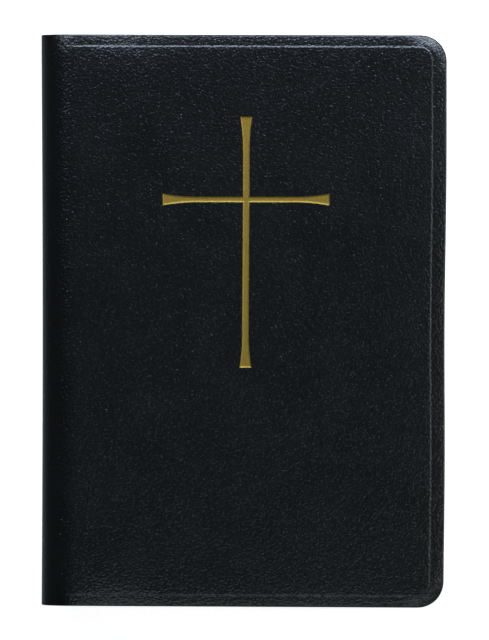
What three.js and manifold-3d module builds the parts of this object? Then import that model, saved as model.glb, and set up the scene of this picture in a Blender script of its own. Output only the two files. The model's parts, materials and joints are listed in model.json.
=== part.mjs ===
// A prayer book bound in limp black leather, closed and lying on its back cover.
// Millimetres. +X runs from the spine to the fore edge, +Y towards the head, +Z up through the front cover.
// The origin is the middle of the book's footprint, on the surface that it lies on.
import * as THREE from "three";
import { mergeVertices } from "three/addons/utils/BufferGeometryUtils.js";
import Module from "manifold-3d";

const wasm = await Module();
wasm.setup();

// ---- Driving dimensions ----
const BOOK_WIDTH = 152.4;
const BOOK_HEIGHT = 216;
const BOOK_THICKNESS = 33;
const COVER_CORNER_RADIUS = 9.8;
const SKIN = 0.8; // leather over the board
const BOARD = 1.0; // flexible card inside each cover
const TURN_IN = 0.4; // pared leather folded round the board's inner face
const TURN_IN_WIDTH = 12;
const PASTEDOWN = 0.2;
const MARGIN_FORE = 5.6; // leather standing past the board at the fore edge
const MARGIN_ENDS = 4.6; // and at the head and the tail
const MARGIN_DROP = 0.45; // how far that margin lies below the board's face
const BOARD_START = 14.2; // from the spine's outermost line to the board
const BOARD_CORNER_RADIUS = 4.8;
const SHELL = 1.0; // leather of the spine
const PIVOT_IN = 7.8; // hinge line, in from the spine's outermost line
const JOINT_HALF = 2.3; // the leather that flexes runs this far to each side of the hinge line
const SECTIONS = 24;
const LEAF_WIDTH = 139;
const PAGE_HEIGHT = 208;
const PAGE_CORNER_RADIUS = 6.4;
const FOLD_RADIUS = 19.56; // rounding of the block's back
const FOLD_MID = 3.8; // from the spine's outermost line to the middle section's fold
const LEAF = 0.2;
const FIT = 0.05; // paper-thin gap between glued pieces
const CROSS = {
  x: 0.8, // middle of the upright
  y: 45.8, // middle of the arms
  top: 77.2,
  bottom: -17.8,
  left: -30.9,
  right: 32.4,
  halfStem: 1.3, // half the upright's width along its straight stretch
  halfArm: 1.12,
  halfEnd: 2.3, // half the width of each flared end
  flare: 13.5, // length over which an end flares
  depth: 0.35, // how deep it is pressed into the leather
  foil: 0.1,
};

// ---- Derived positions ----
const SPINE_X = -BOOK_WIDTH / 2;
const FORE_X = BOOK_WIDTH / 2;
const END_Y = BOOK_HEIGHT / 2;
const MID_Z = BOOK_THICKNESS / 2;
const PIVOT_X = SPINE_X + PIVOT_IN;
const COVER_STACK = SKIN + BOARD + TURN_IN + PASTEDOWN;
const BOARD_X0 = SPINE_X + BOARD_START;
const BOARD_X1 = FORE_X - MARGIN_FORE;
const BOARD_Y = END_Y - MARGIN_ENDS;
const COVER_X0 = PIVOT_X + JOINT_HALF;
const PAGE_Y = PAGE_HEIGHT / 2;
const FOLD_CENTRE_X = SPINE_X + FOLD_MID + FOLD_RADIUS;

// Depths of each layer below a cover's outer face.
const DEPTH_BOARD = SKIN;
const DEPTH_TURN_IN = SKIN + BOARD;
const DEPTH_PASTEDOWN = COVER_STACK - PASTEDOWN;

// ---- Materials ----
function finish(color, roughness, metalness = 0) {
  return new THREE.MeshStandardMaterial({ color, roughness, metalness });
}

const LEATHER = finish(0x16191b, 0.45);
const GILT = finish(0xb8933f, 0.3, 1);
const CARD = finish(0x8d7a5c, 0.9);
const ENDPAPER = finish(0x1b1a1a, 0.85);
const PAPER = finish(0xece4d2, 0.9);
const CLOTH = finish(0xd9d2bf, 0.95);
const KRAFT = finish(0xa67f52, 0.9);
const SILK = finish(0x8e2a2a, 0.6);

// ---- Shape helpers ----
const book = new THREE.Group();

function addPiece(name, geometry, material) {
  const piece = new THREE.Mesh(geometry, material);
  piece.name = name;
  book.add(piece);
}

function toSolid(geometry) {
  const bare = geometry.clone();
  bare.deleteAttribute("normal");
  bare.deleteAttribute("uv");
  const merged = mergeVertices(bare, 1e-4);
  return new wasm.Manifold(
    new wasm.Mesh({
      numProp: 3,
      vertProperties: merged.attributes.position.array,
      triVerts: new Uint32Array(merged.index.array),
    }),
  );
}

function toGeometry(solid) {
  const mesh = solid.getMesh();
  const geometry = new THREE.BufferGeometry();
  geometry.setAttribute("position", new THREE.BufferAttribute(mesh.vertProperties, 3));
  geometry.setIndex(new THREE.BufferAttribute(mesh.triVerts, 1));
  return geometry;
}

// A plan outline with its own radius at the spine side and at the fore edge.
function planOutline(x0, x1, halfY, foreRadius, spineRadius = 0) {
  const outline = new THREE.Shape();
  const turn = Math.PI / 2;
  outline.absarc(x1 - foreRadius, halfY - foreRadius, foreRadius, 0, turn);
  if (spineRadius > 0) {
    outline.absarc(x0 + spineRadius, halfY - spineRadius, spineRadius, turn, 2 * turn);
    outline.absarc(x0 + spineRadius, -halfY + spineRadius, spineRadius, 2 * turn, 3 * turn);
  } else {
    outline.lineTo(x0, halfY);
    outline.lineTo(x0, -halfY);
  }
  outline.absarc(x1 - foreRadius, -halfY + foreRadius, foreRadius, -turn, 0);
  outline.closePath();
  return outline;
}

// A flat sheet of an outline in plan, between two heights, its edges rounded over if a bevel is given.
function sheet(outline, z0, z1, bevel = 0, curveSegments = 8) {
  const geometry = new THREE.ExtrudeGeometry(outline, {
    depth: z1 - z0 - 2 * bevel,
    curveSegments,
    bevelEnabled: bevel > 0,
    bevelThickness: bevel,
    bevelSize: bevel,
    bevelOffset: -bevel,
    bevelSegments: 2,
  });
  geometry.translate(0, 0, z0 + bevel);
  return geometry;
}

// A profile drawn in X and Z, run along Y.
function alongY(profile, y0, y1, curveSegments = 12) {
  const geometry = new THREE.ExtrudeGeometry(profile, {
    depth: y1 - y0,
    curveSegments,
    bevelEnabled: false,
  });
  geometry.rotateX(Math.PI / 2);
  geometry.translate(0, y1, 0);
  return geometry;
}

// The front's layers as they stand, or turned over to make the back's.
function placed(geometry, side) {
  if (side === "front") return geometry;
  const turned = geometry.clone();
  turned.translate(0, 0, -BOOK_THICKNESS);
  turned.scale(1, 1, -1);
  const corners = turned.index ? turned.toNonIndexed() : turned;
  const xyz = corners.attributes.position.array;
  for (let face = 0; face < xyz.length; face += 9)
    for (let axis = 0; axis < 3; axis++)
      [xyz[face + 3 + axis], xyz[face + 6 + axis]] = [xyz[face + 6 + axis], xyz[face + 3 + axis]];
  return corners;
}

// ---- The spine's cross-section ----
// The leather's outer line is half an ellipse from the front board's edge round to the back board's.
const SPINE_A = BOARD_START;
const SPINE_B = MID_Z;

function spinePoint(inset, angle) {
  const x = BOARD_X0 - (SPINE_A - inset) * Math.cos(angle);
  const z = MID_Z + (SPINE_B - inset) * Math.sin(angle);
  return new THREE.Vector2(x, z);
}

// The angle at which the line at an inset crosses a given X on the front half.
function spineAngle(inset, x) {
  return Math.acos((BOARD_X0 - x) / (SPINE_A - inset));
}

// A band of the spine between two insets and two angles.
function spineBand(inner, outer, from, to, steps) {
  const points = [];
  for (let i = 0; i <= steps; i++) points.push(spinePoint(outer, from + ((to - from) * i) / steps));
  for (let i = steps; i >= 0; i--) points.push(spinePoint(inner, from + ((to - from) * i) / steps));
  return new THREE.Shape(points);
}

// A band concentric with the rounded back of the text block, out to a half height.
function backBand(radius0, radius1, halfHeight, steps = 12) {
  const reach = Math.asin(halfHeight / radius1);
  const points = [];
  const add = (radius, angle) =>
    points.push(
      new THREE.Vector2(FOLD_CENTRE_X - radius * Math.cos(angle), MID_Z + radius * Math.sin(angle)),
    );
  for (let i = 0; i <= steps; i++) add(radius1, -reach + (2 * reach * i) / steps);
  for (let i = steps; i >= 0; i--) add(radius0, -reach + (2 * reach * i) / steps);
  return new THREE.Shape(points);
}

// ---- The gilt cross ----
function crossOutline(grow) {
  const { x, y, top, bottom, left, right, halfStem, halfArm, halfEnd, flare } = CROSS;
  const stem = halfStem + grow;
  const arm = halfArm + grow;
  const end = halfEnd + grow;
  const outline = new THREE.Shape();
  outline.moveTo(x - stem, y + arm);
  outline.lineTo(x - stem, top - flare);
  outline.quadraticCurveTo(x - stem, top - flare / 3, x - end, top + grow);
  outline.lineTo(x + end, top + grow);
  outline.quadraticCurveTo(x + stem, top - flare / 3, x + stem, top - flare);
  outline.lineTo(x + stem, y + arm);
  outline.lineTo(right - flare, y + arm);
  outline.quadraticCurveTo(right - flare / 3, y + arm, right + grow, y + end);
  outline.lineTo(right + grow, y - end);
  outline.quadraticCurveTo(right - flare / 3, y - arm, right - flare, y - arm);
  outline.lineTo(x + stem, y - arm);
  outline.lineTo(x + stem, bottom + flare);
  outline.quadraticCurveTo(x + stem, bottom + flare / 3, x + end, bottom - grow);
  outline.lineTo(x - end, bottom - grow);
  outline.quadraticCurveTo(x - stem, bottom + flare / 3, x - stem, bottom + flare);
  outline.lineTo(x - stem, y - arm);
  outline.lineTo(left + flare, y - arm);
  outline.quadraticCurveTo(left + flare / 3, y - arm, left - grow, y - end);
  outline.lineTo(left - grow, y + end);
  outline.quadraticCurveTo(left + flare / 3, y + arm, left + flare, y + arm);
  outline.closePath();
  return outline;
}

const CROSS_FLOOR = BOOK_THICKNESS - CROSS.depth;

// ---- Covers ----
// Everything at or below the curve that the leather makes over the shoulder of the spine.
function shoulderLimit() {
  const start = spineAngle(0, COVER_X0);
  const points = [];
  const steps = 6;
  for (let i = 0; i <= steps; i++) points.push(spinePoint(0, start + ((Math.PI / 2 - start) * i) / steps));
  points.push(new THREE.Vector2(FORE_X + 1, BOOK_THICKNESS));
  points.push(new THREE.Vector2(FORE_X + 1, MID_Z));
  points.push(new THREE.Vector2(COVER_X0, MID_Z));
  return toSolid(alongY(new THREE.Shape(points), -END_Y - 1, END_Y + 1));
}

// One cover's leather: a turned edge all round, a raised face over the board, and a pocket open on its inner side.
function coverLeather(withCross) {
  const inner = BOOK_THICKNESS - DEPTH_PASTEDOWN;
  const edge = toSolid(
    sheet(planOutline(COVER_X0, FORE_X, END_Y, COVER_CORNER_RADIUS), inner, BOOK_THICKNESS - MARGIN_DROP, 0.6),
  );
  const face = toSolid(
    sheet(
      planOutline(COVER_X0, BOARD_X1 + 0.4, BOARD_Y + 0.4, BOARD_CORNER_RADIUS),
      inner + 0.5,
      BOOK_THICKNESS,
      0.4,
    ),
  );
  const pocket = toSolid(
    sheet(
      planOutline(BOARD_X0 - FIT, BOARD_X1 + FIT, BOARD_Y + FIT, BOARD_CORNER_RADIUS, 1),
      BOOK_THICKNESS - DEPTH_TURN_IN,
      BOOK_THICKNESS - DEPTH_BOARD,
    ),
  );
  const window = toSolid(
    sheet(
      planOutline(BOARD_X0 - FIT, BOARD_X1 - TURN_IN_WIDTH, BOARD_Y - TURN_IN_WIDTH, 1, 1),
      inner - 1,
      BOOK_THICKNESS - DEPTH_TURN_IN + 0.1,
    ),
  );
  let leather = edge.add(face).intersect(shoulderLimit()).subtract(pocket).subtract(window);
  if (withCross) leather = leather.subtract(toSolid(sheet(crossOutline(FIT), CROSS_FLOOR, BOOK_THICKNESS + 1)));
  return toGeometry(leather);
}

function board() {
  const outline = planOutline(BOARD_X0, BOARD_X1, BOARD_Y, BOARD_CORNER_RADIUS - FIT, 1);
  return sheet(outline, BOOK_THICKNESS - DEPTH_TURN_IN, BOOK_THICKNESS - DEPTH_BOARD - FIT, 0.2);
}

const FLANGE_X1 = BOARD_X0 + 24; // how far the mull's flange reaches over the board

function mullFlange() {
  const outline = planOutline(BOARD_X0 + 0.5, FLANGE_X1, 85, 1, 1);
  return sheet(outline, BOOK_THICKNESS - DEPTH_PASTEDOWN + FIT, BOOK_THICKNESS - DEPTH_TURN_IN - FIT);
}

// The endpaper's glued half: a sheet over the turn-ins that sinks into the window between them.
function pastedown() {
  const inner = BOOK_THICKNESS - DEPTH_PASTEDOWN;
  const outline = planOutline(COVER_X0 + 1.5, FORE_X - 4.2, PAGE_Y, PAGE_CORNER_RADIUS);
  const over = toSolid(sheet(outline, BOOK_THICKNESS - COVER_STACK, inner - FIT / 2));
  const sunk = toSolid(
    sheet(
      planOutline(FLANGE_X1 + 0.3, BOARD_X1 - TURN_IN_WIDTH - 0.3, BOARD_Y - TURN_IN_WIDTH - 0.3, 1, 1),
      inner - PASTEDOWN / 2,
      BOOK_THICKNESS - DEPTH_TURN_IN - FIT,
    ),
  );
  return toGeometry(over.add(sunk));
}

for (const side of ["front", "back"]) {
  addPiece(`${side}_cover_leather`, placed(coverLeather(side === "front"), side), LEATHER);
  addPiece(`${side}_board`, placed(board(), side), CARD);
  addPiece(`${side}_mull_flange`, placed(mullFlange(), side), CLOTH);
  addPiece(`${side}_pastedown`, placed(pastedown(), side), ENDPAPER);
}

addPiece("gilt_cross", sheet(crossOutline(0), CROSS_FLOOR, CROSS_FLOOR + CROSS.foil), GILT);

// ---- Spine ----
const SPINE_END_ANGLE = spineAngle(0, PIVOT_X - JOINT_HALF - 0.6);
const SPINE_TURN_IN = 0.5;

function spineLeather() {
  const thick = alongY(
    spineBand(SHELL + SPINE_TURN_IN, 0, -SPINE_END_ANGLE, SPINE_END_ANGLE, 20),
    -END_Y,
    END_Y,
  );
  const recess = alongY(
    spineBand(SHELL + SPINE_TURN_IN + 1, SHELL, -SPINE_END_ANGLE - 0.2, SPINE_END_ANGLE + 0.2, 24),
    -END_Y + TURN_IN_WIDTH,
    END_Y - TURN_IN_WIDTH,
  );
  return toGeometry(toSolid(thick).subtract(toSolid(recess)));
}

addPiece("spine_leather", spineLeather(), LEATHER);

const INLAY_REACH = SPINE_END_ANGLE - 0.08;
addPiece(
  "spine_inlay",
  alongY(
    spineBand(SHELL + 0.45, SHELL + 0.1, -INLAY_REACH, INLAY_REACH, 16),
    -END_Y + TURN_IN_WIDTH + 0.3,
    END_Y - TURN_IN_WIDTH - 0.3,
  ),
  CARD,
);

// The stretch of leather between the spine and a cover, which bends when the cover opens.
function jointLeather() {
  const from = spineAngle(0, PIVOT_X - JOINT_HALF - 0.2);
  const to = spineAngle(0, COVER_X0 - 0.3);
  return alongY(spineBand(SHELL, 0, from, to, 5), -END_Y, END_Y);
}

for (const side of ["front", "back"]) addPiece(`${side}_joint_leather`, placed(jointLeather(), side), LEATHER);

// ---- Linings of the block's back ----
const TAPE_WIDTH = 12;
const TAPE_PLACES = [-75, -25, 25, 75];
TAPE_PLACES.forEach((y, index) =>
  addPiece(
    `sewing_tape_${index + 1}`,
    alongY(
      backBand(FOLD_RADIUS + 0.1, FOLD_RADIUS + 0.4, 11.5),
      y - TAPE_WIDTH / 2,
      y + TAPE_WIDTH / 2,
    ),
    CLOTH,
  ),
);
addPiece("spine_mull", alongY(backBand(FOLD_RADIUS + 0.45, FOLD_RADIUS + 0.65, 11.5), -90, 90), CLOTH);
addPiece("spine_lining_paper", alongY(backBand(FOLD_RADIUS + 0.7, FOLD_RADIUS + 0.95, 11.5), -98, 98), KRAFT);

// ---- Head and tail bands ----
const BAND_RADIUS = 1.1;

function endBand() {
  const bandLine = FOLD_RADIUS - BAND_RADIUS - 0.2;
  const reach = 0.62;
  const points = [];
  for (let i = 0; i <= 12; i++) {
    const angle = -reach + (2 * reach * i) / 12;
    const x = FOLD_CENTRE_X - bandLine * Math.cos(angle);
    points.push(new THREE.Vector3(x, 0, MID_Z + bandLine * Math.sin(angle)));
  }
  const round = new THREE.Shape();
  round.absarc(0, 0, BAND_RADIUS, 0, 2 * Math.PI);
  return new THREE.ExtrudeGeometry(round, {
    extrudePath: new THREE.CatmullRomCurve3(points),
    steps: 16,
    curveSegments: 5,
    bevelEnabled: false,
  });
}

const BAND_Y = PAGE_Y + BAND_RADIUS + 0.1;
addPiece("head_band", endBand().translate(0, BAND_Y, 0), SILK);
addPiece("tail_band", endBand().translate(0, -BAND_Y, 0), SILK);

// ---- Text block ----
const BLOCK_TOP = BOOK_THICKNESS - COVER_STACK;
const BLOCK_BOTTOM = COVER_STACK;

// The block's back at a height, and its fore edge, which follows the same curve.
function foldX(z) {
  return FOLD_CENTRE_X - Math.sqrt(FOLD_RADIUS ** 2 - (z - MID_Z) ** 2);
}

// A single leaf that turns at the gutter.
function leaf(x0, z0) {
  const x1 = foldX(z0) + LEAF_WIDTH;
  return sheet(planOutline(x0, x1, PAGE_Y, PAGE_CORNER_RADIUS), z0, z0 + LEAF, 0, 6);
}

const LEAF_START = PIVOT_X + 1.2;
const LEAF_SPACE = 0.3; // one leaf and the air over it
addPiece("front_flyleaf", leaf(LEAF_START, BLOCK_TOP - LEAF_SPACE), ENDPAPER);
addPiece("title_leaf", leaf(LEAF_START, BLOCK_TOP - 2 * LEAF_SPACE), PAPER);
addPiece("back_flyleaf", leaf(LEAF_START, BLOCK_BOTTOM + LEAF_SPACE - LEAF), ENDPAPER);

// A folded section: square at its fore edge, rounded at its fold.
function section(z0, z1) {
  const x0 = foldX((z0 + z1) / 2);
  const x1 = x0 + LEAF_WIDTH;
  const radius = (z1 - z0) / 2;
  const profile = new THREE.Shape();
  profile.moveTo(x1 + 1, z1);
  profile.absarc(x0 + radius, z0 + radius, radius, Math.PI / 2, 1.5 * Math.PI);
  profile.lineTo(x1 + 1, z0);
  profile.closePath();
  const outline = planOutline(x0 - 1, x1, PAGE_Y, PAGE_CORNER_RADIUS);
  const block = toSolid(sheet(outline, z0 - 1, z1 + 1, 0, 6));
  return toGeometry(toSolid(alongY(profile, -PAGE_Y - 1, PAGE_Y + 1, 3)).intersect(block));
}

const SECTIONS_TOP = BLOCK_TOP - 2 * LEAF_SPACE - FIT;
const SECTIONS_BOTTOM = BLOCK_BOTTOM + LEAF_SPACE + FIT;
const PITCH = (SECTIONS_TOP - SECTIONS_BOTTOM) / SECTIONS;
for (let i = 0; i < SECTIONS; i++) {
  const z1 = SECTIONS_TOP - i * PITCH;
  addPiece(`section_${String(i + 1).padStart(2, "0")}`, section(z1 - PITCH + FIT, z1), PAPER);
}

export default book;
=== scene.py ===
import json
import math

import bmesh
import bpy
import numpy as np
from bpy.props import FloatProperty, FloatVectorProperty, IntProperty, PointerProperty
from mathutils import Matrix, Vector, geometry, noise


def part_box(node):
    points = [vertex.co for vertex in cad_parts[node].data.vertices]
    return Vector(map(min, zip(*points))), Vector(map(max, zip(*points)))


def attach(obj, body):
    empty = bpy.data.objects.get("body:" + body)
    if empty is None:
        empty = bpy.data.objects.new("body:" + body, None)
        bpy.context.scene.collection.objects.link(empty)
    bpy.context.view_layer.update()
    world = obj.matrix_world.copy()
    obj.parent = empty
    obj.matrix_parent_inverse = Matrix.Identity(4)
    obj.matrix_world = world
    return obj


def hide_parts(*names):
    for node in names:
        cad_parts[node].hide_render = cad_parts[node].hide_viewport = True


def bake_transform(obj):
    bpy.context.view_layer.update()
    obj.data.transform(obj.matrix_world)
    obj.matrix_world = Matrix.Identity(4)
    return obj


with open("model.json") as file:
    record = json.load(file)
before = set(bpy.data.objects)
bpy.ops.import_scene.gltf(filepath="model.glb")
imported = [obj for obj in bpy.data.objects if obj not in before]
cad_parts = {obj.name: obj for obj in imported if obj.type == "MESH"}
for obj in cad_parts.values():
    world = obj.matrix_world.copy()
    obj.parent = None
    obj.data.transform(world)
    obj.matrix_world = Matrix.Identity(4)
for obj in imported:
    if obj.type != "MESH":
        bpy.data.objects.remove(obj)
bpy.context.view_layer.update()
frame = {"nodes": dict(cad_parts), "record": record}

bl_info = {
    "name": "Prayer Book",
    "version": (1, 0, 0),
    "blender": (4, 5, 0),
    "location": "View3D > Sidebar > Prayer Book",
    "description": "A prayer book in limp black leather with a gilt cross, built round its packed frame",
    "category": "Object",
}

MM = 0.001


# ---- Places from the frame ----
def corners(node):
    """A node's lowest and highest corners."""
    low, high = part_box(node)
    return Vector(low), Vector(high)


COVER_HI = corners("front_cover_leather")[1]
SPINE_LO = corners("spine_leather")[0]
BOARD_LO, BOARD_HI = corners("front_board")
PASTE_HI = corners("front_pastedown")[1]
CROSS_LO, CROSS_HI = corners("gilt_cross")
# The foil breaks off a little inside the die's edge.
FOIL_INSET = Vector((0.35, 0.25, 0)) * MM
CROSS_LO += FOIL_INSET
CROSS_HI -= FOIL_INSET
THICKNESS = COVER_HI.z
MID_Z = THICKNESS / 2
FORE_X = COVER_HI.x
END_Y = COVER_HI.y
ARC_A = BOARD_LO.x - SPINE_LO.x  # the spine's outer line is half an ellipse, and these are its half-widths
ARC_B = MID_Z
# Leaves get close rows of points between these distances from the hinge line, where they would bend.
GUTTER_START = 3 * MM  # a leaf starts to bend this far past the hinge line
GUTTER_CUT = 0.28 * MM  # distance between the rows of points where leaves bend
GUTTER_REACH = 9.2 * MM  # how far from its fold a section has such rows
JOINTS = {joint["name"]: joint for joint in frame["record"]["behaviour"]["joints"]}
FRONT_PIVOT = Vector(JOINTS["front_cover_hinge"]["pos_m"])
SECTIONS = sorted(name for name in frame["nodes"] if name.startswith("section_"))
MOVING_LEAVES = {joint["child"] for joint in frame["record"]["behaviour"]["joints"]}


def linear(hex_colour):
    """The linear RGB of an sRGB hex colour."""
    channels = [int(hex_colour[i:i + 2], 16) / 255 for i in (0, 2, 4)]
    return tuple(c / 12.92 if c <= 0.04045 else ((c + 0.055) / 1.055) ** 2.4 for c in channels)


def smooth(low, high, value):
    """0 below low, 1 above high, and an even curve between them."""
    t = np.clip((value - low) / (high - low), 0, 1)
    return t * t * (3 - 2 * t)


# ---- Settings ----
def colour(name, description, hex_colour):
    return FloatVectorProperty(name=name, description=description, subtype="COLOR", size=3, min=0, max=1,
                               default=linear(hex_colour))


def length(name, description, millimetres):
    return FloatProperty(name=name, description=description, unit="LENGTH", min=0, precision=5,
                         default=millimetres * MM)


class BookFinishSettings(bpy.types.PropertyGroup):
    leather: colour("Leather", "Dyed colour of the leather", "0c0c0c")
    gilt: colour("Gilt", "Colour of the stamped foil and of the page edges", "c9a749")
    page: colour("Pages", "Colour of the printing paper", "efe8d8")
    endpaper: colour("Endpapers", "Colour of the pastedowns and flyleaves", "1c1b1c")
    band_dark: colour("Band thread", "Darker silk of the head and tail bands", "6d1a20")
    band_light: colour("Second band thread", "Lighter silk of the bands", "d9c48c")
    card: colour("Card", "Colour of the boards and the spine's inlay", "8f7d60")
    cloth: colour("Cloth", "Colour of the mull and the sewing tapes", "d8d0bd")
    kraft: colour("Kraft", "Colour of the paper that lines the block's back", "a47c50")
    pebble: length("Pebble", "Width of one pebble of the leather's grain", 0.95)


class BookCoverSettings(bpy.types.PropertyGroup):
    corner: length("Corner", "Radius of the cover's fore-edge corners", 9.8)
    board_corner: length("Board corner", "Radius of the board's fore-edge corners", 4.8)
    drop: length("Drop", "How far the margin lies below the edge of the board's face", 0.22)
    rim: length("Rim", "How much further it falls at the edge", 0.4)
    droop: length("Droop", "How far the corners hang", 1.05)
    edge: length("Edge", "Rounding radius of the turned edge", 0.42)
    pillow: length("Pillow", "Rise of the padded face from the board's edge", 0.22)
    deboss: length("Deboss", "Depth of the cross", 0.3)
    turn_in: length("Turn-in", "Width of the leather folded over the board's inner face", 12)
    grid: length("Grid", "Distance between points of the leather's mesh", 2)


class BookPageSettings(bpy.types.PropertyGroup):
    leaves: IntProperty(name="Leaves", description="Leaves in each sewn section", default=16, min=2)
    corner: length("Page corner", "Radius of the pages' rounded corners", 6.4)
    slip: length("Slip", "How far single leaves lie out of line", 0.05)
    back_radius: length("Rounding", "Radius of the block's rounded back", 19.56)


class BookStageSettings(bpy.types.PropertyGroup):
    distance: length("Distance", "Camera height over the front cover", 8000)
    frame_height: length("Frame height", "Height that the picture shows at the front cover", 241.9)
    key: FloatProperty(name="Key light", description="Power of the softbox at the head side", default=7, min=0)
    fill: FloatProperty(name="Fill light", description="Power of the softboxes at the tail and fore edge", default=0.35,
                        min=0)
    surround: FloatProperty(name="Surround", description="Brightness of the studio's walls", default=0.032, min=0)


def settings(part):
    return getattr(bpy.context.scene, "book_" + part)


# ---- Materials ----
def plug(tree, node, values, links):
    """Sets a node's inputs, by value and by incoming link."""
    for socket, value in (values or {}).items():
        node.inputs[socket].default_value = value
    for socket, source in (links or {}).items():
        tree.links.new(source, node.inputs[socket])


def add_node(tree, kind, values=None, links=None, **attributes):
    """One node with its attributes, its sockets' values and its incoming links."""
    node = tree.nodes.new(kind)
    for name, value in attributes.items():
        setattr(node, name, value)
    plug(tree, node, values, links)
    return node


def first_output(tree, kind, values=None, links=None, **attributes):
    return add_node(tree, kind, values, links, **attributes).outputs[0]


def maths(tree, operation, *terms):
    """The result of a sum whose terms are sockets or numbers."""
    values = {i: term for i, term in enumerate(terms) if isinstance(term, float)}
    links = {i: term for i, term in enumerate(terms) if i not in values}
    return first_output(tree, "ShaderNodeMath", values, links, operation=operation)


def tint(tree, factor, dark, light):
    """A colour between two, by a factor from 0 to 1."""
    mix = add_node(tree, "ShaderNodeMix", {6: (*dark, 1), 7: (*light, 1)}, {0: factor}, data_type="RGBA")
    return mix.outputs[2]


def tones(tree, factor, base, darkest, lightest=1.0):
    """A tint between two strengths of one colour."""
    return tint(tree, factor, [c * darkest for c in base], [c * lightest for c in base])


def ranged(tree, value, from_low, from_high, to_low, to_high):
    return first_output(tree, "ShaderNodeMapRange", {1: from_low, 2: from_high, 3: to_low, 4: to_high}, {0: value})


def noisy(tree, place, scale, detail, distortion=0.0):
    """A noise texture's height, from 0 to 1."""
    values = {"Scale": scale, "Detail": detail, "Distortion": distortion}
    return add_node(tree, "ShaderNodeTexNoise", values, {"Vector": place}).outputs["Fac"]


def bumped(tree, height, distance_mm, strength=1.0, links=None):
    """A normal that leans as a height does."""
    values = {"Strength": strength, "Distance": distance_mm * MM}
    return add_node(tree, "ShaderNodeBump", values, {"Height": height, **(links or {})}).outputs["Normal"]


def new_material(name, look, *given):
    """A material whose shader takes the values and the links that a look returns."""
    made = bpy.data.materials.new(name)
    made.use_nodes = True
    tree = made.node_tree
    place = add_node(tree, "ShaderNodeTexCoord").outputs["Object"]
    plug(tree, tree.nodes["Principled BSDF"], *look(tree, place, *given))
    return made


def leather_look(tree, place):
    """Calfskin, aniline dyed near black, plated with a fine pebble grain and lightly glazed.
    The eye sees soft highlights broken into sparkles by the pebbles, which are wider than real ones may be."""
    finish = settings("finish")
    cells = 1 / finish.pebble
    warp_share = 0.0004  # how much of the noise is mixed into the pebbles' places
    warp = add_node(tree, "ShaderNodeTexNoise", {"Scale": 1.2 * cells, "Detail": 1.0}, {"Vector": place})
    bent = add_node(tree, "ShaderNodeMix", {0: warp_share}, {4: place, 5: warp.outputs["Color"]}, data_type="VECTOR")
    pebbles = add_node(tree, "ShaderNodeTexVoronoi", {"Scale": cells, "Smoothness": 0.3, "Randomness": 1.0},
                       {"Vector": bent.outputs[1]}, feature="SMOOTH_F1")
    wrinkles = noisy(tree, place, 1.7 * cells, 1.0, 0.6)
    patches = noisy(tree, place, 0.05 * cells, 2.0)
    coarse = bumped(tree, ranged(tree, pebbles.outputs["Distance"], 0.0, 0.75, 1.0, 0.0), 0.1)
    fine = bumped(tree, wrinkles, 0.105, links={"Normal": coarse})
    return {"IOR": 1.5, "Coat Weight": 0.9, "Coat Roughness": 0.17, "Coat IOR": 1.5}, {
        "Base Color": tones(tree, patches, finish.leather, 0.8, 1.25),
        "Roughness": ranged(tree, patches, 0.3, 0.7, 0.29, 0.33),
        "Normal": fine,
        "Coat Normal": fine,
    }


def foil_look(tree, place):
    """Hot-stamped gilt foil: a film a few microns thick, slightly uneven where the leather's grain shows through."""
    finish = settings("finish")
    grain = noisy(tree, place, 1.6 / finish.pebble, 3.0)
    worn = ranged(tree, grain, 0.35, 0.7, 0.0, 1.0)
    return {"Metallic": 1.0}, {
        "Base Color": tones(tree, worn, finish.gilt, 0.8),
        "Roughness": ranged(tree, grain, 0.3, 0.7, 0.5, 0.62),
        "Normal": bumped(tree, grain, 0.09),
    }


def paper_look(tree, place, base_colour, roughness, fibre_mm):
    """Uncoated paper: a matt face with short fibres just visible."""
    fibres = noisy(tree, place, 1 / (fibre_mm * MM), 4.0, 0.8)
    clouds = noisy(tree, place, 60.0, 2.0)
    return {"Roughness": roughness, "IOR": 1.45}, {
        "Base Color": tones(tree, clouds, base_colour, 0.93),
        "Normal": bumped(tree, fibres, 0.03, 0.25),
    }


def edge_gilt_look(tree, place):
    """Page edges trimmed, gilded and burnished: bright metal streaked along the leaves. The streaks are drawn
    about 0.11 mm apart, coarser than the leaves, so that they show."""
    stretched = first_output(tree, "ShaderNodeMapping", {"Scale": (120.0, 120.0, 9000.0)}, {"Vector": place})
    streaks = noisy(tree, stretched, 1.0, 3.0)
    return {"Metallic": 1.0}, {
        "Base Color": tones(tree, streaks, settings("finish").gilt, 0.7),
        "Roughness": ranged(tree, streaks, 0.3, 0.7, 0.28, 0.42),
        "Normal": bumped(tree, streaks, 0.03, 0.3),
    }


def woven_look(tree, place):
    """Bookbinder's cotton: two sets of threads 0.8 mm apart, matt and slightly fuzzy."""
    # A wave texture at scale 1 repeats every 2 pi / 20.
    values = {"Scale": math.tau / 20 / (0.8 * MM), "Distortion": 0.4}
    waves = [add_node(tree, "ShaderNodeTexWave", values, {"Vector": place}, bands_direction=way).outputs["Fac"]
             for way in ("Y", "Z")]
    weave = maths(tree, "MAXIMUM", *waves)
    return {"Roughness": 0.9, "Sheen Weight": 0.2}, {
        "Base Color": tones(tree, weave, settings("finish").cloth, 0.6),
        "Normal": bumped(tree, weave, 0.1, 0.6),
    }


def silk_look(tree, place, base_colour):
    """Wound silk: a soft sheen along tightly laid thread, whose twist repeats about every 0.17 mm."""
    twist = noisy(tree, place, 6000.0, 2.0)
    return {"Roughness": 0.45, "Sheen Weight": 0.3}, {
        "Base Color": tones(tree, twist, base_colour, 0.75),
        "Normal": bumped(tree, twist, 0.03, 0.4),
    }


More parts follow.
